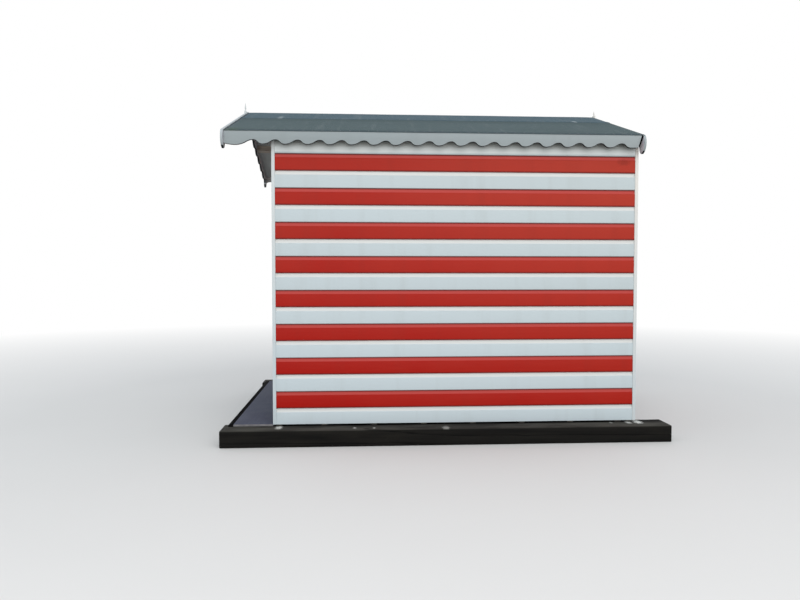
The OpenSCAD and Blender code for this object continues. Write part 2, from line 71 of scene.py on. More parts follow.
# %% [markdown]
# Places are read from those solids, so a new board lands where the carpenter would nail it.
# Numbers could be typed in again, but a box read from the solid can't drift away from it.
# Most pieces touch the wall's face, the frame behind it or the underside of the roof.

# %% The hut's own lines
side_lo, side_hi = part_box("right_cladding")
wall_x, frame_x, base_z, eaves_z = side_hi.x, side_lo.x, side_lo.z, side_hi.z
frame_y0, frame_y1 = side_lo.y, side_hi.y
corner_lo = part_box("front_right_corner")[0]
front_y, corner_x0 = corner_lo.y, corner_lo.x
back_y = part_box("back_right_corner")[1].y
roof_lo, roof_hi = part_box("right_roof_boards")
verge_y0, verge_y1 = roof_lo.y, roof_hi.y
ridge_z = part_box("ridge_beam")[1].z
pitch = math.atan((ridge_z - eaves_z) / frame_x)
roof_rise = roof_hi.z - ridge_z
ridge_felt_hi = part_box("ridge_felt")[1]
lap_end, felt_rise = ridge_felt_hi.x, ridge_felt_hi.z - roof_hi.z
fascia_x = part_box("right_fascia")[1].x


def roof_under(x):
    """Height of the roof boards' underside at a distance from the middle."""
    return ridge_z - abs(x) * math.tan(pitch)


print(f"wall face {wall_x:.3f}, roof at the wall {roof_under(wall_x):.4f},",
      f"pitch {math.degrees(pitch):.2f} degrees")

# %% [markdown]
# # Camera, light and floor
#
# The camera stands where the photographer stood: level with a person's eyes, square to
# the long wall and a little nearer its front end. Its place was solved from the hut's
# straight lines. A camera could be turned by hand until it looks right, but a measured
# one lets every edge be compared with the photograph.

# %% Camera
eye = Vector((6.8783, -0.7375, 1.3917))
yaw, down = 0.0598, 0.03743
level = math.cos(down)
look = Vector((-math.cos(yaw) * level, math.sin(yaw) * level, -math.sin(down)))
camera_data = bpy.data.cameras.new("camera")
camera_data.sensor_width = 36
camera_data.lens = 30.956
camera = bpy.data.objects.new("camera", camera_data)
camera.location = eye
camera.rotation_euler = look.to_track_quat("-Z", "Y").to_euler()
bpy.context.collection.objects.link(camera)
bpy.context.scene.camera = camera
print(f"eye height {eye.z:.2f} m, {eye.x - wall_x:.2f} m from the wall")

# %% [markdown]
# An open sky lights the hut from above and all round, so the studio does the same: a pale
# world for the soft fill and one wide lamp high over the near side. A small hard lamp would
# throw shadows that the hut doesn't have. The world shows white to the camera and in
# reflections, and only its weaker light falls on the hut. The floor shares the helpers.


# %% World and lamp
def seen_plainly(tree):
    """1 for what the camera sees, also in a mirror or through glass, and 0 for other light."""
    ray = tree.nodes.new("ShaderNodeLightPath")
    seen = ray.outputs["Is Camera Ray"]
    for kind in ("Is Glossy Ray", "Is Transmission Ray"):
        either = tree.nodes.new("ShaderNodeMath")
        either.operation = "MAXIMUM"
        tree.links.new(seen, either.inputs[0])
        tree.links.new(ray.outputs[kind], either.inputs[1])
        seen = either.outputs[0]
    return seen


def cross_fade(tree, amount, one, other, last):
    """Fade from one shader to another and send the result to the last node."""
    fade = tree.nodes.new("ShaderNodeMixShader")
    for value, socket in zip((amount, one, other), fade.inputs):
        tree.links.new(value, socket)
    tree.links.new(fade.outputs[0], tree.nodes[last].inputs["Surface"])


scene = bpy.context.scene
scene.view_settings.view_transform = "Standard"
world = bpy.data.worlds.new("studio")
world.use_nodes = True
scene.world = world
tree = world.node_tree
sky = tree.nodes["Background"]
sky.inputs["Color"].default_value = (0.92, 0.96, 1.0, 1)
sky.inputs["Strength"].default_value = 0.92
backdrop = tree.nodes.new("ShaderNodeBackground")
backdrop.inputs["Color"].default_value = (1, 1, 1, 1)
cross_fade(tree, seen_plainly(tree), sky.outputs[0], backdrop.outputs[0], "World Output")

lamp_data = bpy.data.lights.new("wide_lamp", "AREA")
lamp_data.shape = "RECTANGLE"
lamp_data.size, lamp_data.size_y = 12, 12
lamp_data.energy = 860
lamp_data.color = (1.0, 0.955, 0.91)
lamp = bpy.data.objects.new("wide_lamp", lamp_data)
lamp.location = (11.5, 0.2, 6.2)
lit = Vector((0, 0, 1.2))
lamp.rotation_euler = (lit - lamp.location).to_track_quat("-Z", "Y").to_euler()
bpy.context.collection.objects.link(lamp)
print(f"sky {sky.inputs['Strength'].default_value}, lamp {lamp_data.energy} W")

# %% [markdown]
# # Mixing a finish
#
# Paint, timber and felt are all a shader fed by patterns: broad blotches for fading, long
# streaks for grain and brush marks, ragged spots for stains, and a height for bumps. Each
# pattern reads the object's own coordinates, so it stays on the piece from any side. One
# small class keeps the wiring out of the way, so a finish is a few readable lines.


# %% A finish and its patterns
def shade(red, green, blue):
    """A colour as a picture shows it, 0 to 255, in the linear numbers that a shader takes."""
    parts = [c / 255 for c in (red, green, blue)]
    return tuple(c / 12.92 if c <= 0.04 else ((c + 0.055) / 1.055) ** 2.4 for c in parts) + (1,)


def along(letter, thin):
    """The stretch of a pattern whose streaks run along one axis."""
    return tuple(thin if letter == axis else 1 for axis in "XYZ")


class Finish:
    """A material being mixed, with short ways to add its patterns."""

    def __init__(self, name, roughness=0.6, specular=0.25, metallic=0.0):
        self.material = bpy.data.materials.new(name)
        self.material.use_nodes = True
        self.nodes = self.material.node_tree.nodes
        self.links = self.material.node_tree.links
        self.shader = self.nodes["Principled BSDF"]
        self.set("Roughness", roughness)
        self.set("Specular IOR Level", specular)
        self.set("Metallic", metallic)
        self.place = self.node("TexCoord", {})["Object"]

    def node(self, kind, inputs, **settings):
        """A new node; each input is joined to an output or gets a number or colour."""
        made = self.nodes.new("ShaderNode" + kind)
        for name, value in settings.items():
            setattr(made, name, value)
        for name, value in inputs.items():
            self.put(made.inputs[name], value)
        return made.outputs

    def put(self, socket, value):
        if isinstance(value, bpy.types.NodeSocket):
            self.links.new(value, socket)
        else:
            socket.default_value = value

    def set(self, name, value):
        self.put(self.shader.inputs[name], value)

    def stretched(self, stretch):
        return self.node("Mapping", {"Vector": self.place, "Scale": stretch})[0]

    def blotches(self, scale, stretch=(1, 1, 1), detail=4, roughness=0.5):
        """Soft noise; a stretch under 1 draws it out along that axis."""
        inputs = {"Vector": self.stretched(stretch), "Scale": scale, "Detail": detail}
        return self.node("TexNoise", inputs | {"Roughness": roughness})["Fac"]

    def axis(self, letter):
        return self.node("SeparateXYZ", {0: self.place})[letter]

    def out(self):
        """Distance from the middle of the hut, to either side."""
        return self.sum(self.axis("X"), 0, "ABSOLUTE")

    def spot(self, at, stretch, radius, strength):
        """A ragged round mark; a stretch under 1 draws it out along that axis."""
        ends = {0: self.stretched(stretch), 1: [a * s for a, s in zip(at, stretch)]}
        away = self.node("VectorMath", ends, operation="DISTANCE")["Value"]
        rim = 0.4 * radius
        ragged = self.spread(self.blotches(70, roughness=0.7), 0.3, 0.7, -rim, rim)
        return self.spread(self.sum(away, ragged), rim, radius, strength, 0)

    def tone(self):
        """The number between 0 and 1 that each board got when it was laid."""
        return self.node("Attribute", {}, attribute_name="tone")["Fac"]

    def spread(self, value, low, high, to_low=0.0, to_high=1.0):
        """Turn the part of a value between two limits into another range."""
        limits = {"From Min": low, "From Max": high, "To Min": to_low, "To Max": to_high}
        return self.node("MapRange", {"Value": value} | limits)[0]

    def sum(self, one, other, operation="ADD"):
        return self.node("Math", {0: one, 1: other}, operation=operation)[0]

    def mix(self, amount, one, other):
        return self.node("Mix", {0: amount, 6: one, 7: other}, data_type="RGBA")[2]

    def tint(self, colour, other, value, *limits):
        """Turn a colour into another as a value goes from one limit to the next."""
        return self.mix(self.spread(value, *limits), colour, other)

    def bump(self, height, depth):
        """Bumps drawn by a height, which is multiplied by a depth in metres."""
        self.set("Normal", self.node("Bump", {"Height": height, "Distance": depth})[0])


print("white as written:", [round(c, 3) for c in shade(200, 209, 212)])

# %% [markdown]
# The boards are softwood under gloss paint. Old gloss keeps faint brush marks along the
# board, lets the grain show and holds a little dust. It fades in patches and with height,
# most of all towards the back end. One image of a board would repeat and stretch, so the
# paint is mixed from streaks, grain and a slow fade. The hollows along the boards' tops face
# the sky and are drawn lighter, partly chalky paint and partly a painted highlight. The laps
# are drawn darker, partly dirt and partly the lap's painted shade. Under the fascia a side
# wall's top board gets painted light, and higher up, close under the fascia and lower towards
# the back end, painted shade mixed with sooty dirt, where one stain marks the wall. One solid
# holds all the boards of a wall, so their measures are typed in.

# %% Gloss paint on wood
first_board, cover, cove_h = 0.133, 0.1392, 0.036
first_top, hollow_z = base_z + first_board, cover - cove_h
foot_z, high_z = 0.4, 2.4
shady_y, sunny_y = -0.9, 1.3
# Heights of the painted light, then of the painted shade with sooty dirt, under the fascia.
painted_light_z = eaves_z - 0.172, eaves_z - 0.16
soot_and_shade_z = eaves_z - 0.131, eaves_z - 0.067
soot_and_shade_y, soot_and_shade_drop = (0.3, 1.5), 0.006


def gloss_paint(name, colours, letter, laps=None, under_eaves=None, stain=None):
    """Paint brushed along one axis, in a fresh, a faded and a dirty colour."""
    fresh, faded, dirt = colours
    paint = Finish(name, specular=0.1)
    height = paint.spread(paint.axis("Z"), foot_z, high_z, -0.1, 0.34)
    sunny_end = paint.sum(paint.spread(paint.axis("Z"), foot_z, high_z, 0.3, 0.72),
                          paint.spread(paint.axis("Y"), shady_y, sunny_y), "MULTIPLY")
    patches = paint.spread(paint.blotches(1.3, detail=3), 0.4, 0.7, 0, 0.15)
    colour = paint.mix(paint.sum(paint.sum(height, sunny_end), patches), fresh, faded)
    dusty = paint.mix(0.5, colour, dirt)
    colour = paint.tint(colour, dusty, paint.tone(), 0, 1, 0, 0.22)
    brush = paint.blotches(420, along(letter, 0.012), detail=2)
    grain = paint.blotches(60, along(letter, 0.05), detail=5, roughness=0.6)
    streaks = paint.blotches(9, (1, 1, 0.12), detail=5)
    colour = paint.tint(colour, dirt, streaks, 0.52, 0.75, 0, 0.14)
    colour = paint.tint(colour, faded, grain, 0.35, 0.7, 0, 0.12)
    colour = paint.tint(colour, dirt, paint.blotches(160, detail=2), 0.72, 0.76, 0, 0.5)
    # Hollows: chalky paint and a painted highlight. Laps: dirt and painted shade.
    if laps:
        hollow, lap_dirt_and_shade, foot, top = laps
        up_boards = paint.sum(paint.axis("Z"), first_top, "SUBTRACT")
        up_board = paint.sum(up_boards, cover, "FLOORED_MODULO")
        colour = paint.tint(colour, hollow, up_board, hollow_z, hollow_z + 0.008, 0, 0.8)
        at_foot = paint.spread(up_board, foot / 2, foot, 0.75, 0)
        at_top = paint.spread(up_board, cover - 0.012, cover - 0.004, 0, top)
        colour = paint.mix(paint.sum(at_foot, at_top, "MAXIMUM"), colour, lap_dirt_and_shade)
    # Painted light on the top board under the fascia, then painted shade with sooty dirt.
    if under_eaves:
        painted_light, soot_and_shade = under_eaves
        colour = paint.tint(colour, painted_light, paint.axis("Z"), *painted_light_z, 0, 0.95)
        lower_at_back = paint.spread(paint.axis("Y"), *soot_and_shade_y, 0, soot_and_shade_drop)
        colour = paint.tint(colour, soot_and_shade, paint.sum(paint.axis("Z"), lower_at_back), *soot_and_shade_z)
    if stain:
        colour = paint.mix(paint.spot(*stain), colour, dirt)
    paint.set("Base Color", colour)
    paint.set("Roughness", paint.spread(paint.sum(grain, brush), 0.6, 1.4, 0.32, 0.5))
    paint.bump(paint.sum(paint.spread(brush, 0, 1, 0, 0.3), grain), 0.0007)
    return paint.material


red = shade(157, 9, 0), shade(170, 54, 40), shade(118, 38, 28)
white = shade(188, 200, 206), shade(187, 198, 202), shade(148, 151, 147)
post_colours = white[0], shade(214, 212, 208), white[2]
# Per paint: lighter hollow (chalk and painted highlight), lap dirt with painted shade, foot, top.
red_laps = shade(182, 74, 70), shade(92, 22, 20), 0.013, 0.7
white_laps = shade(214, 215, 213), shade(118, 106, 104), 0.006, 0.0
# Painted light for the top board, then painted shade with sooty dirt close under the fascia.
under_fascia = shade(214, 221, 222), shade(124, 130, 127)
back_end_stain = (wall_x, 1.48, 2.328), (1, 0.5, 1), 0.034, 0.45
side_red = gloss_paint("red_gloss_side", red, "Y", red_laps, stain=back_end_stain)
side_white = gloss_paint("white_gloss_side", white, "Y", white_laps, under_fascia)
end_red = gloss_paint("red_gloss_end", red, "X", red_laps)
end_white = gloss_paint("white_gloss_end", white, "X", white_laps)
plain_white = gloss_paint("white_gloss_level", white, "X")
post_white = gloss_paint("white_gloss_upright", post_colours, "Z")
print("paints:", side_red.name, side_white.name, end_red.name, end_white.name)

# %% [markdown]
# Bare timber differs by how long it has lain outdoors: fresh and sawn inside the walls,
# grey at the joists, pale grey under the roof. All of it is grain, so one recipe serves,
# given two colours, the direction of the grain and how it shines.


# %% Bare timber
def timber(name, light, dark, letter, roughness=0.75, specular=0.2):
    wood = Finish(name, specular=specular)
    rings = wood.blotches(14, along(letter, 0.05), detail=6, roughness=0.6)
    fibres = wood.blotches(130, along(letter, 0.02), detail=3)
    colour = wood.tint(light, dark, rings, 0.3, 0.7)
    colour = wood.tint(colour, dark, wood.tone(), 0, 1, 0, 0.35)
    colour = wood.tint(colour, dark, fibres, 0.4, 0.75, 0, 0.45)
    wood.set("Base Color", colour)
    wood.set("Roughness", wood.spread(fibres, 0.2, 0.8, roughness - 0.1, roughness + 0.1))
    wood.bump(wood.sum(rings, fibres), 0.0008)
    return wood.material


sawn = timber("sawn_softwood_Z", shade(208, 180, 140), shade(168, 134, 94), "Z")
floor_wood = timber("floor_softwood", shade(196, 168, 128), shade(150, 118, 82), "Y")
joist_wood = timber("grey_softwood", shade(112, 109, 103), shade(74, 71, 66), "X")
roof_wood = timber("brown_roof_boards", shade(181, 189, 190), shade(148, 152, 151), "X")
beam_wood = timber("brown_roof_beams", shade(186, 178, 168), shade(146, 138, 128), "Y")
print("timbers:", sawn.name, floor_wood.name, joist_wood.name, roof_wood.name)

# %% [markdown]
# The sleepers are old railway timbers: nearly black at the sides from their preservative,
# greyer on top where rain and feet have bleached them, and split by long checks. Along the
# foot of the wall and under the hut their tops turn near black, partly timber that the hut
# shelters and partly painted shade. Drips of pale paint lie on top. The deck by the doors has
# a purple-grey floor paint, worn thin in patches.

# %% Sleepers, deck paint and iron
sleeper_top_z = 0.128, 0.139
paint_drips = [  # how far right, how far back, radius, strength
    (1.252, -1.392, 0.034, 0.9), (1.296, -0.774, 0.016, 0.6), (1.308, -0.615, 0.013, 0.6),
    (1.330, -0.027, 0.036, 0.35), (1.228, 1.386, 0.017, 0.35), (1.222, 1.536, 0.030, 0.7),
    (1.205, 1.620, 0.044, 0.95)]


def old_sleeper():
    wood = Finish("weathered_sleeper", roughness=0.85, specular=0.08)
    grain = wood.blotches(26, along("Y", 0.05), detail=6, roughness=0.65)
    broad = wood.blotches(5, along("Y", 0.3), detail=4)
    side = wood.tint(shade(29, 28, 26), shade(14, 14, 14), grain, 0.3, 0.7)
    side = wood.tint(side, shade(38, 36, 31), broad, 0.55, 0.75, 0, 0.5)
    top = wood.tint(shade(60, 59, 56), shade(34, 33, 31), grain, 0.3, 0.7)
    top = wood.tint(top, shade(84, 83, 78), broad, 0.45, 0.65, 0, 0.6)
    # Near black along the foot of the wall and under the hut: sheltered timber and painted shade.
    under_wall = wood.spread(wood.out(), wall_x + 0.012, wall_x + 0.004)
    behind_front = wood.spread(wood.axis("Y"), front_y + 0.01, front_y + 0.02)
    top = wood.mix(wood.sum(under_wall, behind_front, "MULTIPLY"), top, shade(8, 8, 8))
    for x, y, radius, strength in paint_drips:
        drip = wood.spot((x, y, 0), (0.5, 1, 0), radius, strength)
        top = wood.mix(drip, top, shade(206, 208, 204))
    colour = wood.tint(side, top, wood.axis("Z"), *sleeper_top_z)
    slope = wood.sum(wood.blotches(9, along("Y", 0.035), detail=3), 0.5, "SUBTRACT")
    valley = wood.sum(slope, 0, "ABSOLUTE")
    colour = wood.tint(colour, shade(10, 10, 10), valley, 0, 0.012, 1, 0)
    wood.set("Base Color", colour)
    wood.bump(wood.sum(grain, wood.spread(valley, 0, 0.02, -1.2, 0)), 0.003)
    return wood.material


def deck_paint():
    paint = Finish("purple_grey_deck_paint", specular=0.03)
    grain = paint.blotches(70, along("X", 0.04), detail=5, roughness=0.6)
    patches = paint.sum(paint.blotches(3.5, detail=5), grain)
    worn = paint.spread(patches, 0.98, 1.2, 0, 0.7)
    colour = paint.tint(shade(82, 85, 99), shade(68, 71, 85), grain, 0.3, 0.7)
    paint.set("Base Color", paint.mix(worn, colour, shade(93, 96, 106)))
    paint.set("Roughness", paint.spread(worn, 0, 0.7, 0.65, 0.85))
    paint.bump(grain, 0.001)
    return paint.material


def black_iron():
    iron = Finish("black_iron", specular=0.5)
    rust = iron.spread(iron.blotches(45, detail=5), 0.62, 0.72, 0, 0.8)
    iron.set("Base Color", iron.mix(rust, shade(26, 26, 28), shade(92, 52, 34)))
    iron.set("Roughness", iron.spread(rust, 0, 0.8, 0.42, 0.85))
    iron.bump(iron.blotches(220, detail=3), 0.0004)
    return iron.material


def zinc():
    metal = Finish("dull_zinc", metallic=0.9)
    cloudy = metal.blotches(300, detail=3)
    metal.set("Base Color", metal.mix(cloudy, shade(150, 152, 154), shade(104, 106, 108)))
    metal.set("Roughness", metal.spread(metal.blotches(180), 0.3, 0.7, 0.4, 0.65))
    return metal.material


sleeper_wood, deck_coat, iron, nail_zinc = old_sleeper(), deck_paint(), black_iron(), zinc()
# Lighter board ends: pale layers and a painted highlight where the ends catch the light.
deck_end_pale_and_lit = timber("deck_ends_pale_and_lit", shade(132, 131, 133), shade(98, 97, 101), "X")
strip_wood = timber("dark_deck_strip", shade(24, 24, 25), shade(13, 13, 14), "X",
                    roughness=0.9, specular=0.02)
print("sleeper, deck and metal finishes mixed")

# %% [markdown]
# Roofing felt is tar-soaked matting with crushed stone pressed into it. From the grass it
# reads as one soft grey-green, with pale streaks where rain runs off and a painted shade
# below the lap. Moss grows at the drip, thickest in the front corner. The drip and verge
# edges are drawn darker, partly wet felt and partly painted shade at the edges, and birds
# left two pale marks. The stone is a fine cell pattern in colour and height, and the streaks
# are noise drawn out down the slope.

# %% Roofing felt
moss_z, damp_and_shade_z = (2.60, 2.53), (2.575, 2.552)
moss_y = verge_y0 + 0.15, verge_y0 + 0.08
damp_and_shade_y = verge_y0 + 0.022, verge_y0 + 0.012
lap_shade_x = lap_end + 0.12, lap_end + 0.2
bird_marks = [((0.43, 1.296, 0), (0.42, 1, 0), 0.027, 0.42),
              ((0.39, -1.456, 0), (0.26, 1, 0), 0.034, 0.28)]


def felt(name, light, dark, moss=0.5, lap_shade=0.0):
    sheet = Finish(name, roughness=0.92, specular=0.2)
    cells = {"Vector": sheet.stretched((1, 1, 1)), "Scale": 520}
    stones = sheet.node("TexVoronoi", cells)["Distance"]
    colour = sheet.tint(light, dark, stones, 0.1, 0.7)
    cloud = sheet.blotches(2.2, (1, 0.6, 1), detail=5, roughness=0.6)
    colour = sheet.tint(colour, dark, cloud, 0.35, 0.7, 0, 0.5)
    streaks = sheet.blotches(16, (0.1, 1, 0.1), detail=4)
    colour = sheet.tint(colour, shade(108, 118, 122), streaks, 0.55, 0.78, 0, 0.4)
    # Painted shade below the ridge strip's lap.
    colour = sheet.tint(colour, dark, sheet.out(), *lap_shade_x, lap_shade, 0)
    near_drip = sheet.spread(sheet.axis("Z"), *moss_z, 0, moss)
    cushions = sheet.spread(sheet.blotches(26, detail=6, roughness=0.7), 0.5, 0.66)
    front_corner = sheet.spread(sheet.axis("Y"), *moss_y, 0, 1.7)
    growth = sheet.sum(near_drip, sheet.sum(cushions, front_corner, "MAXIMUM"), "MULTIPLY")
    colour = sheet.mix(growth, colour, shade(72, 92, 66))
    # Darker drip and verge edges: wet felt and painted shade.
    damp_and_shade = sheet.sum(sheet.spread(sheet.axis("Z"), *damp_and_shade_z, 0, 0.45),
                     sheet.spread(sheet.axis("Y"), *damp_and_shade_y, 0, 0.7), "MAXIMUM")
    colour = sheet.mix(damp_and_shade, colour, shade(48, 60, 72))
    for mark in bird_marks:
        colour = sheet.mix(sheet.spot(*mark), colour, shade(190, 198, 200))
    sheet.set("Base Color", colour)
    sheet.bump(sheet.sum(stones, sheet.blotches(40, detail=4)), 0.0012)
    return sheet.material


slope_felt = felt("grey_green_felt", shade(93, 109, 113), shade(69, 84, 87), lap_shade=0.8)
ridge_top_felt = felt("blue_grey_felt", shade(94, 114, 123), shade(69, 88, 98), moss=0.0)
print("felts:", slope_felt.name, ridge_top_felt.name)

# %% [markdown]
# # Carpentry helpers
#
# A carpenter saws a length off a section, eases its sharp edges and nails it up. The
# helpers do the same: they draw a squared piece, run an outline out along a line, ease the
# edges, saw past a plane, lay the part into its wall and hang the wall up in place of its
# plain solids. Each board gets a tone of its own, so no two are quite alike.

# %% Sawing, easing and laying
dice = random.Random(7)
edge_angle = math.radians(35)


def block(lo, hi):
    """A squared piece of wood between two corners."""
    part = bmesh.new()
    bmesh.ops.create_cube(part, size=1)
    bmesh.ops.scale(part, vec=[b - a for a, b in zip(lo, hi)], verts=part.verts)
    bmesh.ops.translate(part, vec=[(a + b) / 2 for a, b in zip(lo, hi)], verts=part.verts)
    return part


def run_out(part, faces, way):
    """Push flat faces out along a line, as a saw or a mill would."""
    grown = bmesh.ops.extrude_face_region(part, geom=faces)["geom"]
    moved = [v for v in grown if isinstance(v, bmesh.types.BMVert)]
    bmesh.ops.translate(part, vec=way, verts=moved)
    bmesh.ops.recalc_face_normals(part, faces=part.faces)
    return part


def ease(part, width, segments=2):
    """Round the sharp edges of a part."""
    sharp = [e for e in part.edges if e.is_manifold and e.calc_face_angle(0) > edge_angle]
    round_off(part, sharp, width, segments, "EDGES")
    return part


def round_off(part, chosen, width, segments, affect="VERTICES"):
    bmesh.ops.bevel(part, geom=chosen, offset=width, segments=segments, affect=affect,
                    profile=0.5, material=-1)


def saw(part, at, facing):
    """Cut off what lies past a plane and close the cut."""
    everything = part.verts[:] + part.edges[:] + part.faces[:]
    bmesh.ops.bisect_plane(part, geom=everything, plane_co=at, plane_no=facing, clear_outer=True)
    fill_holes(part)


def fill_holes(part):
    bmesh.ops.holes_fill(part, edges=[e for e in part.edges if e.is_boundary], sides=0)


def lay(pile, part, finish=0, tone=None):
    """Move a part into a bigger piece, with one of its finishes and a tone."""
    tone = dice.random() if tone is None else tone
    laid = len(pile.faces)
    mesh = bpy.data.meshes.new("part")
    part.to_mesh(mesh)
    part.free()
    pile.from_mesh(mesh)
    bpy.data.meshes.remove(mesh)
    layer = pile.faces.layers.float.get("tone") or pile.faces.layers.float.new("tone")
    pile.faces.ensure_lookup_table()
    for face in pile.faces[laid:]:
        face.material_index = finish
        face[layer] = tone


def hang_up(name, pile, finishes, replaces, sharp=24):
    """Turn a pile of parts into a named piece of the hut."""
    bmesh.ops.recalc_face_normals(pile, faces=pile.faces)
    mesh = bpy.data.meshes.new(name)
    pile.to_mesh(mesh)
    pile.free()
    for finish in finishes:
        mesh.materials.append(finish)
    mesh.shade_smooth()
    mesh.set_sharp_from_angle(angle=math.radians(sharp))
    piece = bpy.data.objects.new(name, mesh)
    bpy.context.collection.objects.link(piece)
    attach(piece, "root")
    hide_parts(*replaces)
    print(f"{name}: {len(mesh.polygons)} faces")


# %% [markdown]
# Some solids already have the right shape and only want softer edges: corner boards, door
# trims, fascias. Their meshes are loose triangles and mustn't be changed, so a copy is
# merged, its flat faces are joined up, and then its edges are eased.

# %% A softened copy of a solid
touching, trim_ease = 0.00001, 0.0022


def softened(node, width):
    part = bmesh.new()
    part.from_mesh(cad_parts[node].data)
    part.faces.layers.float.new("tone")
    bmesh.ops.remove_doubles(part, verts=part.verts, dist=touching)
    bmesh.ops.dissolve_limit(part, angle_limit=math.radians(1), verts=part.verts, edges=part.edges)
    return ease(part, width)


def trim_board(node, paint=post_white):
    hang_up(node + "_board", softened(node, trim_ease), [paint], [node])


for node in ("front_right_corner", "front_left_corner", "back_right_corner", "back_left_corner"):
    trim_board(node)

# %% [markdown]
# # Shiplap walls
#
# A shiplap board has a flat face, a scooped hollow along its top and a step cut in the back
# of its lower edge, so each board laps the one below and rain runs off. Drawn as one ribbed
# sheet the wall would have no shadow line between boards. Here each board is its own
# length: a small outline, its hollow rounded by bevelling one corner while the outline is
# stretched, then run out to length.

# %% One board
board_t, cove_d, lap = 0.020, 0.009, 0.010
slack_x, slack_z, arris = 0.0003, 0.0005, 0.0008


def row_z(i):
    """Lower edge of a board, counted from the bottom."""
    return base_z if i == 0 else base_z + first_board + (i - 1) * cover


def shiplap_board(i, length):
    """One board lying along +Y with its face towards +X, its back at zero."""
    height = first_board if i == 0 else cover
    tongue_x, shoulder = board_t - cove_d, height - cove_h
    outline = [(0, lap + slack_z), (tongue_x + slack_x, lap + slack_z), (tongue_x + slack_x, 0),
               (board_t, 0), (board_t, shoulder), (tongue_x, shoulder),
               (tongue_x, height + lap), (0, height + lap)]
    part = bmesh.new()
    corners = [part.verts.new((x, 0, z)) for x, z in outline]
    part.faces.new(corners)
    stretch = cove_h / cove_d
    bmesh.ops.scale(part, vec=(stretch, 1, 1), verts=part.verts)
    round_off(part, [corners[5]], cove_h - 0.003, 6)
    bmesh.ops.scale(part, vec=(1 / stretch, 1, 1), verts=part.verts)
    round_off(part, [v for v in part.verts if v.co.x > board_t - 0.0001], arris, 2)
    return run_out(part, part.faces[:], (0, length, 0))


trial = shiplap_board(1, 1.0)
print("one board:", len(trial.faces), "faces,", round(trial.calc_volume() * 1e6), "cm3 a metre")
trial.free()

# %% [markdown]
# Every board is nailed to every stud, low on its face where the nail holds the lap too.
# The heads were painted over, so they show only as small soft discs. With hundreds of
# them, each is a flat cone of eight sides.

# %% Nails
nail_up, nail_wander, sunk = 0.022, 0.006, 0.0001


def nail_head(at, facing, radius=0.003, height=0.0008):
    """A small domed head at a point, standing out along an axis."""
    part = bmesh.new()
    bmesh.ops.create_cone(part, cap_ends=True, segments=8, radius1=radius, radius2=radius * 0.6,
                          depth=height)
    bmesh.ops.translate(part, vec=(0, 0, height / 2 - sunk), verts=part.verts)
    turn = Vector(facing).to_track_quat("Z", "Y").to_matrix().to_4x4()
    part.transform(Matrix.Translation(at) @ turn)
    return part


# %% [markdown]
# The two side walls run from corner board to corner board. The stripes come from the boards
# themselves: white, red, white, from the bottom up. The last board is cut along the slope
# of the roof, behind the fascia. It would be red, but it stays white so that no red shows
# through a notch of the fascia.

# %% Side walls
sides = ("right", 1), ("left", -1)
side_rows, uneven = 18, 0.0004
stud_in, stud_gap, stud_count = 0.0225, 0.4, 8
studs = [frame_y0 + stud_in + stud_gap * k for k in range(stud_count)] + [frame_y1 - stud_in]


def roof_saw(part, side):
    """Saw a part off under one slope of the roof."""
    saw(part, Vector((0, 0, ridge_z)), Vector((side * math.sin(pitch), 0, math.cos(pitch))))


def side_wall(word, side):
    wall = bmesh.new()
    turn = Matrix.Rotation(0 if side > 0 else math.pi, 4, "Z")
    start = Vector((side * frame_x, frame_y0 if side > 0 else frame_y1, 0))
    for i in range(side_rows):
        part = shiplap_board(i, frame_y1 - frame_y0)
        nudge = Vector((side * dice.uniform(0, uneven), 0, row_z(i)))
        part.transform(Matrix.Translation(start + nudge) @ turn)
        if i == side_rows - 1:
            roof_saw(part, side)
            lay(wall, part)
            break
        lay(wall, part, i % 2)
        face_x = side * (wall_x + nudge.x * side)
        for y in studs:
            at = (face_x, y + dice.uniform(-nail_wander, nail_wander), row_z(i) + nail_up)
            lay(wall, nail_head(at, (side, 0, 0)), i % 2)
    finishes, node = [side_white, side_red], word + "_cladding"
    hang_up(word + "_shiplap", wall, finishes, [node], sharp=20)


for word, side in sides:
    side_wall(word, side)

# %% [markdown]
# The front and back walls carry the same boards up into the gables, level with those on the
# sides so that the stripes meet at the corners. Boards that meet the roof are sawn along
# it, and those that meet the ridge beam, a purlin or the door trim are notched. A notch is
# made as a carpenter marks it: what is left of it, right of it and under it are sawn from
# the same board.

# %% Gable walls
end_rows, corner_proud, roof_near = 21, 0.007, 0.45
across_gap, across_shift = 0.3, 0.08
trim_x1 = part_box("right_door_trim")[1].x
head_z1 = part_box("door_head_trim")[1].z
beam_lo, beam_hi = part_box("ridge_beam")
purlin_lo, purlin_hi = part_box("right_purlin")
notches = [(-purlin_hi.x, -purlin_lo.x, purlin_lo.z), (beam_lo.x, beam_hi.x, beam_lo.z),
           (purlin_lo.x, purlin_hi.x, purlin_lo.z)]


def end_board(i, x0, x1, front, bottom=None, top=None):
    """A board across the front or back wall, sawn under the roof and between two heights."""
    part = shiplap_board(i, x1 - x0)
    turn = Matrix.Rotation(-math.pi / 2 if front else math.pi / 2, 4, "Z")
    start = (x0, frame_y0, row_z(i)) if front else (x1, frame_y1, row_z(i))
    part.transform(Matrix.Translation(start) @ turn)
    if max(roof_under(x0), roof_under(x1)) < row_z(i) + cover + roof_near:
        for side in (1, -1):
            roof_saw(part, side)
    if bottom:
        saw(part, (0, 0, bottom), (0, 0, -1))
    if top:
        saw(part, (0, 0, top), (0, 0, 1))
    return part


def notched(spans, low, high):
    """Split the spans of a row at each beam that it meets; what lies under one gets a top."""
    for x0, x1, z in notches:
        if high > z:
            cut = []
            for a, b, top in spans:
                if a < x0 and b > x1:
                    cut += [(a, x0, None), (x1, b, None)]
                    if low < z:
                        cut.append((x0, x1, z))
                else:
                    cut.append((a, b, top))
            spans = cut
    return spans


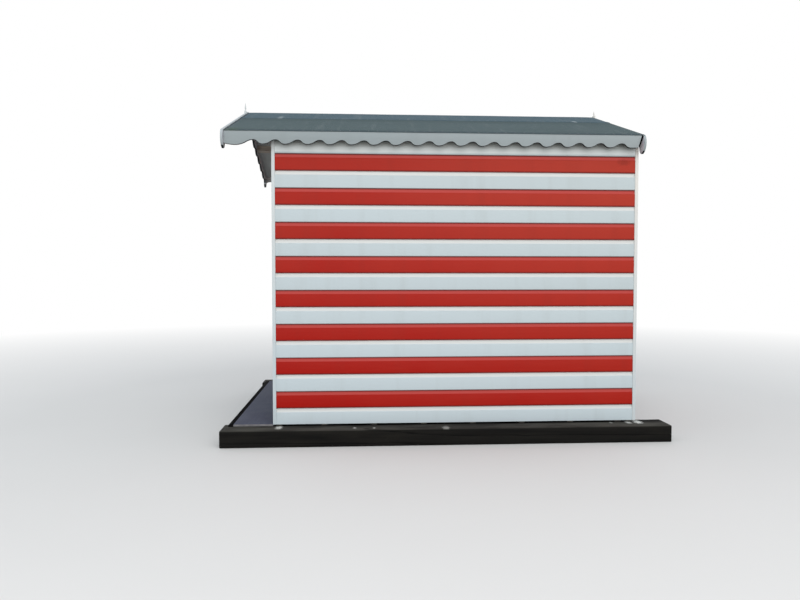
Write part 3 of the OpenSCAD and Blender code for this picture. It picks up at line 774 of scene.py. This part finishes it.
def end_wall(name, nodes, front):
    wall = bmesh.new()
    face_y = front_y + corner_proud if front else back_y - corner_proud
    for i in range(end_rows):
        low, high, tone = row_z(i), row_z(i) + cover, dice.random()
        half = min(corner_x0, (ridge_z - low) / math.tan(pitch) - 0.001)
        spans = [(-half, half, None)]
        by_door = front and low < head_z1
        if by_door:
            spans = [(-half, -trim_x1, None), (trim_x1, half, None)]
            if high > head_z1:
                part = end_board(i, -trim_x1, trim_x1, front, bottom=head_z1)
                lay(wall, part, i % 2, tone)
        for a, b, top in notched(spans, low, high):
            part = end_board(i, a, b, front, top=top)
            if part.faces:
                lay(wall, part, i % 2, tone)
        for k in range(-3, 4):
            x = across_gap * k + (math.copysign(across_shift, k) if k else 0)
            clear = roof_under(x) > low + 0.05 and abs(x) < half
            if clear and not (by_door and abs(x) < trim_x1 + 0.02):
                at = (x, face_y, low + nail_up)
                lay(wall, nail_head(at, (0, -1 if front else 1, 0)), i % 2)
    hang_up(name, wall, [end_white, end_red], nodes, sharp=20)


front_nodes = ["front_right_cladding", "front_left_cladding", "front_gable_cladding"]
end_wall("front_shiplap", front_nodes, True)
end_wall("back_shiplap", ["back_cladding"], False)

# %% [markdown]
# # Doors
#
# The photograph doesn't show the front, so the doors are built as such doors usually are:
# upright boards with small grooves between them, held by three ledges and two braces
# behind, a cover strip over the joint and white trim round the opening. A bump could draw
# the grooves, but real edges catch the light from the side as well.

# %% Leaves, ledges and braces
door_lo, door_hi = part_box("left_door")
leaf_x0, leaf_x1 = -door_hi.x, -door_lo.x
door_z0, door_z1 = door_lo.z, door_hi.z
strip_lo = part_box("right_door")[0]
door_boards, groove, strip_x1 = 6, 0.0003, 0.045
ledge_w, ledge_t, ledge_x0, ledge_x1, ledge_in = 0.095, 0.020, leaf_x0 + 0.006, 0.732, 0.12
ledge_zs = [door_z0 + ledge_in, (door_z0 + door_z1 - ledge_w) / 2, door_z1 - ledge_in - ledge_w]


def brace(low, high, side):
    """A brace from the outer end of one ledge up to the inner end of the next."""
    part = bmesh.new()
    outline = [(ledge_x1 - ledge_w, low), (ledge_x1, low),
               (ledge_x0 + ledge_w, high), (ledge_x0, high)]
    face = part.faces.new([part.verts.new((side * x, frame_y0, z)) for x, z in outline])
    return ease(run_out(part, [face], (0, ledge_t, 0)), 0.0015)


def door(node, side):
    leaf = bmesh.new()
    board = (leaf_x1 - leaf_x0) / door_boards
    for k in range(door_boards):
        x0, x1 = leaf_x0 + k * board + groove, leaf_x0 + (k + 1) * board - groove
        a, b = sorted((side * x0, side * x1))
        lay(leaf, ease(block((a, front_y, door_z0), (b, frame_y0, door_z1)), 0.003, 1))
    for z in ledge_zs:
        a, b = sorted((side * ledge_x0, side * ledge_x1))
        lay(leaf, ease(block((a, frame_y0, z), (b, frame_y0 + ledge_t, z + ledge_w)), 0.002))
        for k in range(door_boards):
            x = side * (leaf_x0 + (k + 0.5) * board)
            for up in (0.025, 0.07):
                lay(leaf, nail_head((x, front_y, z + up), (0, -1, 0)))
    for low, high in zip(ledge_zs, ledge_zs[1:]):
        lay(leaf, brace(low + ledge_w, high, side))
    if side > 0:
        strip = block((leaf_x0, strip_lo.y, door_z0), (strip_x1, front_y, door_z1))
        lay(leaf, ease(strip, 0.0025))
    hang_up(node + "_leaf", leaf, [post_white], [node])


for word, side in sides:
    door(word + "_door", side)
for node in ("right_door_trim", "left_door_trim"):
    trim_board(node)
trim_board("door_head_trim", plain_white)
trim_board("door_sill", plain_white)

# %% [markdown]
# The hinges are blacksmith's work: a tapered strap, a rolled knuckle and a plate, all
# screwed on. The solid has those shapes, so it is copied, its edges are eased, and round
# screw heads with a slot are added. The slot is a gap between two raised halves, which
# takes fewer faces than cutting it out.

# %% Hinges and hasp
iron_t, hinge_x, strap_x1 = 0.003, 0.752, 0.422
strap_screws = [(strap_x1 + d, 0) for d in (0.004, 0.10, 0.19, 0.28)]
plate_screws = [(hinge_x + 0.024, up) for up in (-0.06, -0.03, 0.03, 0.06)]


def screw_head(at, radius=0.0045, slot=0.0005):
    """A round head facing -Y with a slot across it."""
    part = bmesh.new()
    bmesh.ops.create_uvsphere(part, u_segments=12, v_segments=6, radius=radius)
    saw(part, (0, 0, 0), (0, 1, 0))
    bmesh.ops.scale(part, vec=(1, 0.35, 1), verts=part.verts)
    halves = part, part.copy()
    turn = Matrix.Translation(at) @ Matrix.Rotation(dice.uniform(0, 3), 4, "Y")
    for half, way in zip(halves, (1, -1)):
        saw(half, (0, 0, way * slot), (0, 0, -way))
        half.transform(turn)
    return halves


ironwork = softened("door_ironwork", 0.0006)
for z in ledge_zs:
    middle = z + ledge_w / 2
    for side in (1, -1):
        for x, up in strap_screws + plate_screws:
            for half in screw_head((side * x, front_y - iron_t, middle + up)):
                lay(ironwork, half, tone=0.0)
hang_up("hinges_and_hasp", ironwork, [iron], ["door_ironwork"])

# %% [markdown]
# # Scalloped trim and finials
#
# The scallops were cut with a jigsaw along a template, and the paint covers the faces but
# not the sawn lower edges. Those draw a dark wavy line, partly bare sawn wood and partly
# painted shade under the boards. Behind, the paint stops where the brush couldn't reach: a
# bargeboard's back is white past the fascia and pale grey bare wood under the roof. On the
# back pair a near-black painted shade lies behind the fascia's slanting cut end, and at the
# outer end of every back a darker rim is painted shade. The solids carry the exact curve, so
# softened copies take it over. Faces that look in get this back finish, and faces that look
# down get the sawn edge with its painted shade.

# %% Fascias and bargeboards
fascia_colours = shade(144, 154, 158), shade(153, 162, 165), shade(120, 126, 128)
barge_colours = shade(176, 184, 190), *fascia_colours[1:]
fascia_white = gloss_paint("grey_white_fascia", fascia_colours, "Y")
barge_white = gloss_paint("grey_white_bargeboard", barge_colours, "X")
# Near-black lower edges: bare sawn wood and painted shade under the board.
sawn_edge_and_shade = timber("bare_sawn_edge_and_shade", shade(40, 44, 46), shade(22, 26, 28), "Y")
fascia_mid_z, cut_slope = 2.487, 1.13
shaded_rim_x = 1.309, 1.314


def trim_back():
    wood = Finish("bare_trim_back", specular=0.15)
    grain = wood.blotches(60, (0.05, 0.05, 1), detail=5, roughness=0.6)
    bare = wood.tint(shade(192, 193, 191), shade(162, 165, 166), grain, 0.3, 0.7)
    out = wood.out()
    wavy = wood.spread(wood.blotches(90, along("X", 0.2), detail=3), 0, 1, -0.006, 0.006)
    painted = wood.spread(wood.sum(out, wavy), fascia_x - 0.004, fascia_x)
    up = wood.sum(wood.sum(wood.axis("Z"), fascia_mid_z, "SUBTRACT"), cut_slope, "MULTIPLY")
    past_end = wood.spread(wood.sum(out, up, "SUBTRACT"), fascia_x - 0.023, fascia_x - 0.017)
    at_back = wood.spread(wood.axis("Y"), verge_y1 - 0.003, verge_y1 - 0.001)
    # Painted shade, near black, on the back bargeboards behind the fascia's slanting cut end.
    dirty = wood.sum(wood.sum(1, past_end, "SUBTRACT"), at_back, "MULTIPLY")
    painted = wood.sum(painted, wood.sum(past_end, at_back, "MULTIPLY"), "MAXIMUM")
    colour = wood.mix(painted, bare, shade(198, 196, 203))
    # A darker rim at the outer end of the back: painted shade.
    colour = wood.tint(colour, shade(108, 114, 124), out, *shaded_rim_x)
    wood.set("Base Color", wood.mix(dirty, colour, shade(22, 24, 28)))
    wood.set("Roughness", wood.spread(painted, 0, 1, 0.8, 0.5))
    wood.bump(grain, 0.0006)
    return wood.material


def scalloped(node, inward, paint):
    part = softened(node, 0.003)
    part.normal_update()
    for face in part.faces:
        outward = -face.normal.dot(Vector(inward))
        down = face.normal.z < -0.22 and outward < 0.95
        # Downward faces get the sawn edge and its painted shade.
        sawn_and_shaded = down and abs(face.calc_center_median().x) <= fascia_x + 0.001
        face.material_index = 1 if outward < -0.9 else 2 if sawn_and_shaded else 0
    hang_up(node + "_board", part, [paint, back_finish, sawn_edge_and_shade], [node], sharp=20)


back_finish = trim_back()
for word, side in sides:
    scalloped(word + "_fascia", (-side, 0, 0), fascia_white)
    scalloped("front_" + word + "_bargeboard", (0, 1, 0), barge_white)
    scalloped("back_" + word + "_bargeboard", (0, -1, 0), barge_white)

# %% [markdown]
# A finial is turned on a lathe: a profile goes once round an axis. Spin does just that,
# from half an outline, and joins the last step to the first. The flat post below it
# covers the joint of the two bargeboards.

# %% Finials
turned = [  # share of the radius, share of the spike's height
    (1.0, -0.05), (1.0, 0.03), (0.74, 0.06), (0.60, 0.14), (0.66, 0.24), (0.85, 0.31),
    (0.90, 0.36), (0.84, 0.42), (0.68, 0.52), (0.58, 0.62), (0.42, 0.78), (0.25, 0.92),
    (0.11, 0.985), (0.0, 1.0)]
girth, turns = 0.45, 20


def finial(node, spike):
    lo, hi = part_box(node)
    neck_z = hi.z - spike
    pile = bmesh.new()
    lay(pile, ease(block(lo, (hi.x, hi.y, neck_z)), 0.003))
    part = bmesh.new()
    middle = (0, (lo.y + hi.y) / 2, neck_z)
    radius = girth * (hi.y - lo.y)
    dots = [part.verts.new((radius * r, middle[1], neck_z + spike * up)) for r, up in turned]
    for a, b in zip(dots, dots[1:]):
        part.edges.new((a, b))
    bmesh.ops.spin(part, geom=part.verts[:] + part.edges[:], axis=(0, 0, 1), cent=middle,
                   dvec=(0, 0, 0), angle=2 * math.pi, steps=turns, use_merge=True)
    bmesh.ops.remove_doubles(part, verts=part.verts, dist=touching)
    fill_holes(part)
    lay(pile, part)
    hang_up(node + "_turned", pile, [post_white], [node], sharp=40)


finial("front_finial", spike=0.078)
finial("back_finial", spike=0.046)

# %% [markdown]
# # Roof
#
# Under the felt, boards run down the slope from the ridge over a purlin to the eaves. From
# below, at the overhang, their joints show as thin dark lines, so each one is a board.

# %% Roof boards
roof_count, roof_joint = 31, 0.0006


def roof_boards(node, side):
    slope = bmesh.new()
    lo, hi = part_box(node)
    eave = max(abs(lo.x), abs(hi.x))
    outline = [(0, 0), (eave, 0), (eave, roof_rise), (0, roof_rise)]
    width = (verge_y1 - verge_y0) / roof_count
    for k in range(roof_count):
        y = verge_y0 + k * width + roof_joint
        part = bmesh.new()
        dots = [part.verts.new((side * x, y, roof_under(x) + up)) for x, up in outline]
        run_out(part, [part.faces.new(dots)], (0, width - 2 * roof_joint, 0))
        lay(slope, ease(part, 0.0014, 1))
    hang_up(node + "_laid", slope, [roof_wood], [node])


for word, side in sides:
    roof_boards(word + "_roof_boards", side)

# %% [markdown]
# Felt comes off a roll. One strip covers each slope down to the drip, and a strip bent over
# the ridge laps them both, held by rows of big-headed nails. It never lies quite flat: it
# swells a little between nails. Each strip starts as a fine flat grid whose points are
# lifted on to the slope, with the same swelling in every layer so that none cuts through
# another, and is then given its thickness.

# %% Felt strips
felt_lo, felt_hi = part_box("right_felt")
lap_x, drip_x = felt_lo.x, felt_hi.x
felt_y0, felt_y1 = felt_lo.y, felt_hi.y
flat_y, flat_x, felt_rows = 0.08, 0.06, 64
ramp_x, ramp_w = 0.02, 0.014
row_gap, verge_gap, astray = 0.075, 0.09, 0.003


def swell(x, y):
    """How far the felt stands off the boards, up to two millimetres."""
    broad = noise.noise(Vector((abs(x) * 2.2, y * 3.1, 4.0 if x > 0 else 9.0)))
    fine = noise.noise(Vector((abs(x) * 9, y * 11, 2.0)))
    ends = min((y - felt_y0) / flat_y, (felt_y1 - y) / flat_y)
    away = min(1.0, ends, (drip_x + 0.01 - abs(x)) / flat_x)
    return max(0.0, away) * (0.0011 + 0.0009 * broad + 0.0004 * fine)


def step_up(x):
    """The ridge strip climbs on to the lower strips just before their edge."""
    return felt_rise * min(1.0, max(0.0, (x - lap_x + ramp_x) / ramp_w))


def felt_strip(x0, x1, columns, lift):
    """A strip between two distances from the middle, lifted off the boards by a rule."""
    part = bmesh.new()
    bmesh.ops.create_grid(part, x_segments=columns, y_segments=felt_rows, size=0.5)
    bmesh.ops.scale(part, vec=(x1 - x0, felt_y1 - felt_y0, 1), verts=part.verts)
    middle = ((x0 + x1) / 2, (felt_y0 + felt_y1) / 2, 0)
    bmesh.ops.translate(part, vec=middle, verts=part.verts)
    edge = max(abs(x0), abs(x1)) - 0.001
    for v in part.verts:
        x, y = v.co.x, v.co.y
        if abs(x) > edge:
            v.co.x -= math.copysign(0.0012 + 0.0012 * noise.noise(Vector((y * 6, x, 0))), x)
        v.co.z = roof_under(v.co.x) + roof_rise + lift(abs(x)) + swell(x, y)
    return run_out(part, part.faces[:], (0, 0, felt_rise))


def clout(pile, x, y, lift):
    """A big flat nail head on the felt."""
    at = (x, y, roof_under(x) + roof_rise + felt_rise + lift + swell(x, y))
    facing = (math.copysign(math.sin(pitch), x), 0, math.cos(pitch))
    lay(pile, nail_head(at, facing, 0.005, 0.0012), 1)


def evenly(a, b, gap):
    count = round((b - a) / gap)
    return [a + (b - a) * k / count for k in range(count + 1)]


def wobble():
    return dice.uniform(-astray, astray)


row_ys = evenly(felt_y0 + 0.03, felt_y1 - 0.03, row_gap)
verge_ys = felt_y0 + 0.022, felt_y1 - 0.03
for word, side in sides:
    node, strip = word + "_felt", bmesh.new()
    x0, x1 = sorted((side * lap_x, side * drip_x))
    lay(strip, felt_strip(x0, x1, 40, lambda x: 0.0))
    for y in row_ys:
        clout(strip, side * (drip_x - 0.028 + wobble()), y, 0)
    for x in evenly(lap_end + 0.05, drip_x - 0.08, verge_gap):
        for y in verge_ys:
            clout(strip, side * x, y + wobble(), 0)
    hang_up(node + "_strip", strip, [slope_felt, nail_zinc], [node], sharp=40)

strip = bmesh.new()
lay(strip, felt_strip(-lap_end, lap_end, 120, step_up))
for side in (1, -1):
    for y in row_ys:
        clout(strip, side * (lap_end - 0.022 + wobble()), y, felt_rise)
    for x in evenly(0.05, lap_end - 0.06, verge_gap):
        for y in verge_ys:
            clout(strip, side * x, y, step_up(x))
ridge_finishes = [ridge_top_felt, nail_zinc]
hang_up("ridge_felt_strip", strip, ridge_finishes, ["ridge_felt"], sharp=40)

# %% [markdown]
# # Sleepers, deck and floor
#
# Old sleepers have lost their corners and lie a little uneven. A sharp block would look
# new, so each block's edges are rounded, it is divided along its length, and its points are
# pushed in by noise, more at the corners than on the flats. The underside stays flat,
# because the hut rests on it.


# %% Sleepers
def worn_sleeper(node):
    lo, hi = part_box(node)
    part = ease(block(lo, hi), 0.009)
    across = [e for e in part.edges if 0.05 < e.calc_length() < 0.5]
    bmesh.ops.subdivide_edges(part, edges=across, cuts=3, use_grid_fill=True)
    lengthways = [e for e in part.edges if e.calc_length() > 1]
    bmesh.ops.subdivide_edges(part, edges=lengthways, cuts=90, use_grid_fill=True)
    middle = (lo + hi) / 2
    for v in part.verts:
        if v.co.z < lo.z + 0.02:
            continue
        rough = 0.5 + 0.5 * noise.fractal(v.co * 7, 0.7, 2.0, 3)
        beside = (v.co.x - middle.x) / (hi.x - middle.x)
        above = (v.co.z - middle.z) / (hi.z - middle.z)
        corner = 1.6 if abs(beside) > 0.9 and above > 0.8 else 0.8
        push = 0.0022 * corner * max(0.0, rough)
        v.co.x -= push * beside
        v.co.z -= push * max(0.0, above)
    pile = bmesh.new()
    lay(pile, part)
    hang_up("worn_" + node, pile, [sleeper_wood], [node], sharp=40)


for node in ("right_sleeper", "middle_sleeper", "left_sleeper"):
    worn_sleeper(node)

# %% [markdown]
# One wide painted board and a narrow dark strip make the step in front of the doors. They
# are nailed to the sleepers. The board's sawn ends are drawn lighter, partly its pale layers
# and partly a painted highlight where the ends catch the light.

# %% Deck
deck_lo, deck_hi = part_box("deck_boards")
deck_d, gap, strip_w = 0.325, 0.003, 0.038
deck_nail_xs = deck_lo.x + 0.01, -0.06, 0.06, 1.155
deck_nail_steps = 0.03, 0.12, 0.205, 0.295
deck = bmesh.new()
lay(deck, ease(block((deck_lo.x, deck_hi.y - deck_d, deck_lo.z), deck_hi), 0.003))
# End faces get the lighter finish: pale layers and a painted highlight.
for face in deck.faces:
    if abs(face.normal.x) > 0.9:
        face.material_index = 1
for x in deck_nail_xs:
    for step in deck_nail_steps:
        nail = nail_head((x, deck_hi.y - step, deck_hi.z), (0, 0, 1), 0.004, 0.0006)
        lay(deck, nail, 3, tone=0.0)
strip = block(deck_lo, (deck_hi.x, deck_lo.y + strip_w, deck_hi.z - gap))
lay(deck, ease(strip, 0.004), 2)
deck_finishes = [deck_coat, deck_end_pale_and_lit, strip_wood, iron]
hang_up("deck_planks", deck, deck_finishes, ["deck_boards"])

# %% [markdown]
# Inside, the floor is plain softwood boards nailed across the joists. Nobody sees it with
# the doors shut, but the hut may be opened up by whoever uses it next.

# %% Floor boards
floor_lo, floor_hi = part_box("floor_boards")
floor_count, floor_joint = 20, 0.0004
width = (floor_hi.x - floor_lo.x) / floor_count
inside = bmesh.new()
for k in range(floor_count):
    x = floor_lo.x + k * width
    part = block((x + floor_joint, floor_lo.y, floor_lo.z),
                 (x + width - floor_joint, floor_hi.y, floor_hi.z))
    lay(inside, ease(part, 0.0012, 1))
hang_up("floor_planks", inside, [floor_wood], ["floor_boards"])

# %% [markdown]
# The stud frames, joists, ridge beam and purlins are sawn timbers whose solids are
# already right. They keep their meshes and only get a finish, through their own material
# slots, with the grain along the way most of their timbers run.

# %% Finishes for the timbers that stay
stay = {"floor_joists": joist_wood}
for node in ("ridge_beam", "right_purlin", "left_purlin"):
    stay[node] = beam_wood
for node in ("right_wall", "left_wall", "back_wall", "front_right", "front_left", "front_gable"):
    stay[node + "_frame"] = sawn
for node, wood in stay.items():
    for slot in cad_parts[node].material_slots:
        slot.material = wood
print("finished in place:", ", ".join(stay))

# %% [markdown]
# # Studio floor
#
# The floor is a wide plain sheet on the ground. It keeps the hut's shadow, which tells the
# eye that the hut stands on it, and fades to white further out so that no horizon shows.
# Bounced light sees a darker colour, like grass, because a white floor would light up the
# underside of the roof.

# %% Floor
fade_from, fade_to = 4.0, 13.0
ground = bmesh.new()
bmesh.ops.create_grid(ground, x_segments=1, y_segments=1, size=45)
floor_mesh = bpy.data.meshes.new("studio_floor")
ground.to_mesh(floor_mesh)
ground.free()
pale = Finish("pale_floor", roughness=0.9, specular=0.1)
tree = pale.material.node_tree
seen = seen_plainly(tree)
cloudy = pale.mix(pale.blotches(0.7, detail=2), shade(214, 214, 213), shade(217, 217, 216))
pale.set("Base Color", pale.mix(seen, shade(168, 167, 162), cloudy))
far = pale.node("VectorMath", {0: pale.place}, operation="LENGTH")["Value"]
fade = pale.sum(pale.spread(far, fade_from, fade_to), seen, "MULTIPLY")
glow = pale.node("Emission", {"Color": (1, 1, 1, 1)})[0]
cross_fade(tree, fade, pale.shader.outputs[0], glow, "Material Output")
floor_mesh.materials.append(pale.material)
studio_floor = bpy.data.objects.new("studio_floor", floor_mesh)
bpy.context.collection.objects.link(studio_floor)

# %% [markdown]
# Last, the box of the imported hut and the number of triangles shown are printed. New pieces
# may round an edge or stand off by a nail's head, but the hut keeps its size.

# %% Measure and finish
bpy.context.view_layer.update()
print("CAD box", [round(c, 4) for c in (*cad_lo, *cad_hi)])
shown = [o.data for o in bpy.data.objects if o.type == "MESH" and not o.hide_render]
print("triangles shown:", sum(len(p.vertices) - 2 for mesh in shown for p in mesh.polygons))
